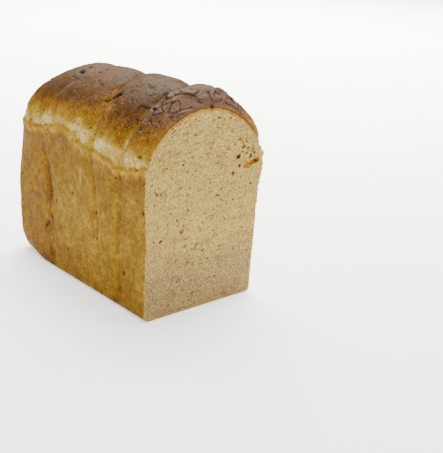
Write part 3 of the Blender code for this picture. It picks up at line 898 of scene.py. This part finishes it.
def crumbMaterial():
    kit = Kit("openCrumb")
    rim = kit.field("rim")
    pore = kit.field("pore")
    grain = kit.noise(0.8, 4, 0.65)
    fleck = kit.noise(2.1, 3, 0.7, kit.stretch((1, 1, 0.75)))
    patch = kit.noise(17, 3)
    bands = kit.noise(6, 3, 0.55, kit.stretch((0.16, 1, 1)))
    height = kit.node("ShaderNodeSeparateXYZ", {}, {"Vector": kit.where}, "Z") / mm
    colour = kit.mix(kit.mask(patch, 0.35, 0.65), tone(186, 156, 84), tone(196, 168, 94))
    # darker and greyer towards the foot of the cut face: painted shadow of the slices that stood
    # against it, partly the crumb's own greyer tone
    footShadeAndGrey = kit.mask(height + (patch - 0.5) * 40, 66, 22)
    greyer = kit.mix(footShadeAndGrey, tone(164, 132, 74), tone(140, 118, 90))
    colour = kit.mix(kit.mask(bands, 0.46, 0.6) * (0.45 + 0.3 * footShadeAndGrey), colour, greyer)
    colour = kit.mix(kit.mask(fleck, 0.5, 0.64) * 0.45, colour, tone(150, 120, 56))
    colour = kit.mix(kit.mask(grain, 0.52, 0.66) * 0.5, colour, tone(234, 214, 152))
    colour = kit.mix(footShadeAndGrey * 0.7, colour, tone(142, 118, 90))
    strand = kit.field("strand")
    colour = kit.mix(kit.mask(strand, 0.08, 0.42) * 0.6, colour, tone(226, 202, 132))
    # painted shade in the hollows between the strands
    colour = kit.mix(kit.mask(strand, -0.1, -0.4) * 0.5, colour, tone(140, 110, 52))
    # painted shade in the pores and holes
    colour = kit.mix(pore * 0.7, colour, tone(110, 82, 38))
    # crust line at the rim, wider and darker over the crown
    rim = rim + (fleck - 0.5) * 1.8
    top = kit.mask(height, 132, 150)
    gold = kit.mask(rim / (2.4 + 2.4 * top), 1.0, 0.3)
    colour = kit.mix(kit.mask(rim, 6, 1) * 0.4 * top, colour, tone(190, 150, 64))
    golden = kit.mix(top, tone(184, 144, 68), tone(156, 110, 32))
    colour = kit.mix(gold * (0.5 + 0.25 * top), colour, golden)
    dark = kit.mask(rim / (0.6 + 1.6 * top), 0.9, 0.35)
    colour = kit.mix(dark * (0.15 + 0.75 * top), colour, tone(84, 48, 18))
    torn = kit.mix(kit.mask(fleck, 0.4, 0.6), tone(166, 110, 24), tone(204, 156, 56))
    colour = kit.mix(kit.field("slit") * 0.92, colour, torn)
    colour = kit.mix(kit.field("red") * 0.8, colour, tone(100, 46, 20))
    bumps = grain * 0.7 + kit.noise(0.4, 2) * 0.3
    return kit.finish(Base_Color=colour, Roughness=0.9, Normal=kit.bump(bumps, 0.4, 0.9))


def fleckMaterial():
    kit = Kit("branFleck")
    grain = kit.noise(0.5, 3)
    colour = kit.mix(grain, tone(62, 40, 26), tone(104, 72, 44))
    return kit.finish(Base_Color=colour, Roughness=0.75, Normal=kit.bump(grain, 0.15))


def flakeMaterial():
    kit = Kit("crustFlake")
    grain = kit.noise(0.9, 3)
    colour = kit.ramp(grain, [(0.3, tone(176, 128, 60)), (0.5, tone(206, 166, 96)),
                              (0.7, tone(222, 196, 146))])
    return kit.finish(Base_Color=colour, Roughness=0.8, Normal=kit.bump(grain, 0.2))


# pieces

def keep(piece):
    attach(piece, "root")
    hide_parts("loaf")


def splitRegions(whole, names):  # pieces share points and shading along their joins
    normals = readNormals(whole)
    axes = ("nx", "ny", "nz")
    for axis, name in enumerate(axes):
        paint(whole, name, normals[:, axis])
    pieces = []
    for number in range(len(names) - 1, 0, -1):
        mark = np.zeros(len(whole.data.polygons), np.int32)
        whole.data.attributes["region"].data.foreach_get("value", mark)
        pick(whole)
        bpy.ops.object.mode_set(mode="EDIT")
        bpy.ops.mesh.select_mode(type="FACE")
        bpy.ops.mesh.select_all(action="DESELECT")
        bpy.ops.object.mode_set(mode="OBJECT")
        whole.data.polygons.foreach_set("select", mark == number)
        bpy.ops.object.mode_set(mode="EDIT")
        bpy.ops.mesh.separate(type="SELECTED")
        bpy.ops.object.mode_set(mode="OBJECT")
        part = next(piece for piece in bpy.context.selected_objects if piece is not whole)
        part.name = names[number]
        pieces.append(part)
    whole.name = names[0]
    pieces.append(whole)
    for piece in pieces:
        piece.data.shade_smooth()
        values = np.zeros((3, len(piece.data.vertices)), np.float32)
        for axis, name in enumerate(axes):
            piece.data.attributes[name].data.foreach_get("value", values[axis])
        for name in axes + ("region",):
            piece.data.attributes.remove(piece.data.attributes[name])
        piece.data.normals_split_custom_set_from_vertices(unit(values.T).tolist())
    return pieces


def copyOnce(model, place, turn, scale):
    twin = model.copy()
    twin.data = model.data.copy()
    twin.matrix_world = Matrix.LocRotScale(Vector(place), turn, Vector(scale))
    bpy.context.collection.objects.link(twin)
    return twin


def joinCopies(model, copies, name):
    bpy.data.objects.remove(model, do_unlink=True)
    deselectAll()
    for piece in copies:
        piece.select_set(True)
    bpy.context.view_layer.objects.active = copies[0]
    bpy.ops.object.join()
    made = bpy.context.object
    made.name = name
    bpy.ops.object.transform_apply(location=True, rotation=True, scale=True)
    return made


def makeLump(name, seed):  # a small uneven lump, 20 faces
    deselectAll()
    bpy.ops.mesh.primitive_ico_sphere_add(subdivisions=1, radius=mm)
    model = bpy.context.object
    model.name = name
    draw = random.Random(seed)
    points = readPoints(model)
    writePoints(model, points * np.array([[draw.uniform(0.65, 1.3)] for _ in points]))
    return model


flecks = {
    "spots": [(-23.6, 126.3, 0.9), (-39.8, 126.1, 0.5), (-35.4, 156.3, 0.6), (23.5, 158.6, 0.8),
              (-48.6, 106.4, 0.9), (-25.5, 108.3, 0.7), (-27.9, 81.8, 0.9), (-23.6, 70.7, 0.9),
              (-43.5, 66.7, 1.1), (-50.5, 67.8, 0.9), (14, 95.8, 0.9), (31.1, 89.2, 0.8),
              (34.8, 44.5, 0.7), (17.3, 100.2, 0.6), (-50.8, 98, 0.7), (5.1, 107.9, 0.6),
              (50.1, 100.4, 0.8)],
    "count": 190, "seed": 5,
}


def makeFlecks(face):
    tree = makeTree([vertex.co for vertex in face.data.vertices])
    model = makeLump("fleckModel", 2)
    draw = random.Random(flecks["seed"])
    spots = list(flecks["spots"])
    for _ in range(flecks["count"]):
        spots.append((draw.uniform(-57, 60), draw.uniform(3, 165), draw.uniform(0.2, 0.5)))
    copies = []
    for x, z, size in spots:
        place, _, away = tree.find(Vector((x, 0.2, z)) * mm)
        if away > 1.5 * mm:
            continue
        place = Vector((place.x, min(place.y, 0.1 * mm), place.z))
        turn = Matrix.Rotation(draw.uniform(0, math.pi), 3, "Y").to_quaternion()
        scale = (size * draw.uniform(1.3, 2), 0.4 * size, size * draw.uniform(0.9, 1.4))
        copies.append(copyOnce(model, place, turn, scale))
    return joinCopies(model, copies, "branFlecks")


flakes = {"count": 150, "seed": 8, "heights": (2, 150), "ragged": (76, 132), "leftShare": 0.42}


def makeFlakes(outline):
    middle, angles, reaches = outline
    low, high = flakes["ragged"]
    model = makeLump("flakeModel", 9)
    draw = random.Random(flakes["seed"])
    copies = []
    for _ in range(flakes["count"]):
        z = draw.choice((draw.uniform(*flakes["heights"]), draw.uniform(low + 2, high - 2)))
        side = -1 if draw.random() < flakes["leftShare"] else 1
        angle = math.atan2(z - middle[1], side * 58)
        reach = np.interp(angle, angles, reaches, period=2 * math.pi) - draw.uniform(-0.1, 0.5)
        size = draw.uniform(0.5, 2.0) if side > 0 and low < z < high else draw.uniform(0.25, 0.8)
        place = Vector((middle[0] + reach * math.cos(angle), draw.uniform(0.1, 0.8),
                        middle[1] + reach * math.sin(angle))) * mm
        aim = Vector((draw.gauss(0, 1), draw.gauss(0, 1), draw.gauss(0, 1)))
        turn = aim.to_track_quat("Z", "Y")
        scale = (size, size * draw.uniform(0.25, 0.6), size * draw.uniform(0.5, 1))
        copies.append(copyOnce(model, place, turn, scale))
    return joinCopies(model, copies, "crustFlakes")


def makeLoaf():
    print("skin")
    skin = makeBlankSkin()
    closeBase(skin)
    shapeSkin(skin)
    cutSkin(skin)
    region = skin.data.attributes["region"].data
    for polygon in skin.data.polygons:  # the one wide face of the base goes with the far end
        if len(polygon.vertices) > 12:
            region[polygon.index].value = regions.index("farEnd")
    outline = cutOutline(skin)
    print("crumb face")
    face = makeCrumbFace(outline)
    print("flecks and flakes")
    bits = [(makeFlecks(face), fleckMaterial(), "crumb"),
            (makeFlakes(outline), flakeMaterial(), "crust")]
    bits += [(piece, None, "crust") for piece in splitRegions(skin, regions)]
    bits += [(piece, None, "crumb") for piece in splitRegions(face, ["crumbLower", "crumbUpper"])]
    shared = {"crust": crustMaterial(), "crumb": crumbMaterial()}
    for piece, material, slotName in bits:
        moveToFrame(piece)
        piece.data.materials.clear()
        piece.data.materials.append(material or shared[slotName])
        keep(piece)
        print(piece.name, len(piece.data.polygons), "faces")


# floor, light and camera

studio = {
    "floor": tone(246, 250, 250), "glow": 0.9, "world": 0.16, "light": (1, 0.985, 0.9),
    # name, place, aim, power, size and spread of each soft lamp
    "lamps": [("overhead", (0.1, 0, 1.7), (0, 0, 0), 62, 2.0, 180),
              ("front", (-0.5, -1.4, 0.9), (0, 0, 0.08), 7, 1.2, 180),
              ("background", (1.5, 1.5, 1.7), (1.5, 1.6, 0), 380, 3.0, 130)],
}


def makeStudio():
    deselectAll()
    bpy.ops.mesh.primitive_plane_add(size=16, location=(0, 0, -0.0002))
    floor = bpy.context.object
    floor.name = "floor"
    kit = Kit("paleFloor")
    floor.data.materials.append(kit.finish(Base_Color=studio["floor"], Roughness=0.9,
                                           Emission_Color=(1, 1, 1),
                                           Emission_Strength=studio["glow"]))
    world = bpy.data.worlds.new("studio")
    world.use_nodes = True
    world.node_tree.nodes["Background"].inputs["Color"].default_value = (*studio["light"], 1)
    world.node_tree.nodes["Background"].inputs["Strength"].default_value = studio["world"]
    bpy.context.scene.world = world
    for name, place, aim, power, size, spread in studio["lamps"]:
        bpy.ops.object.light_add(type="AREA", location=place)
        lamp = bpy.context.object
        lamp.name = name
        lamp.data.energy = power
        lamp.data.color = studio["light"]
        lamp.data.shape = "DISK"
        lamp.data.size = size
        lamp.data.spread = math.radians(spread)
        lamp.rotation_euler = (Vector(aim) - Vector(place)).to_track_quat("-Z", "Y").to_euler()


view = {"place": (-429.185, -487.53, 305.95), "yaw": 42.656, "pitch": 19.805,
        "roll": 3.467, "sensor": 36, "focalShare": 846.6 / 453}


def makeCamera():
    bpy.ops.object.camera_add()
    camera = bpy.context.object
    camera.name = "camera"
    yaw, pitch, roll = (math.radians(view[key]) for key in ("yaw", "pitch", "roll"))
    ahead = Vector((math.sin(yaw) * math.cos(pitch), math.cos(yaw) * math.cos(pitch),
                    -math.sin(pitch)))
    right = Vector((math.cos(yaw), -math.sin(yaw), 0))
    up = right.cross(ahead)
    across = right * math.cos(roll) + up * math.sin(roll)
    upright = -right * math.sin(roll) + up * math.cos(roll)
    turn = Matrix((across, upright, -ahead)).transposed().to_4x4()
    place = (Vector(view["place"]) + Vector(loaf["shift"])) * mm
    camera.matrix_world = Matrix.Translation(place) @ turn
    camera.data.sensor_width = view["sensor"]
    camera.data.lens = view["focalShare"] * view["sensor"]
    camera.data.clip_start = 0.01
    bpy.context.scene.camera = camera


makeStudio()
makeCamera()
makeLoaf()
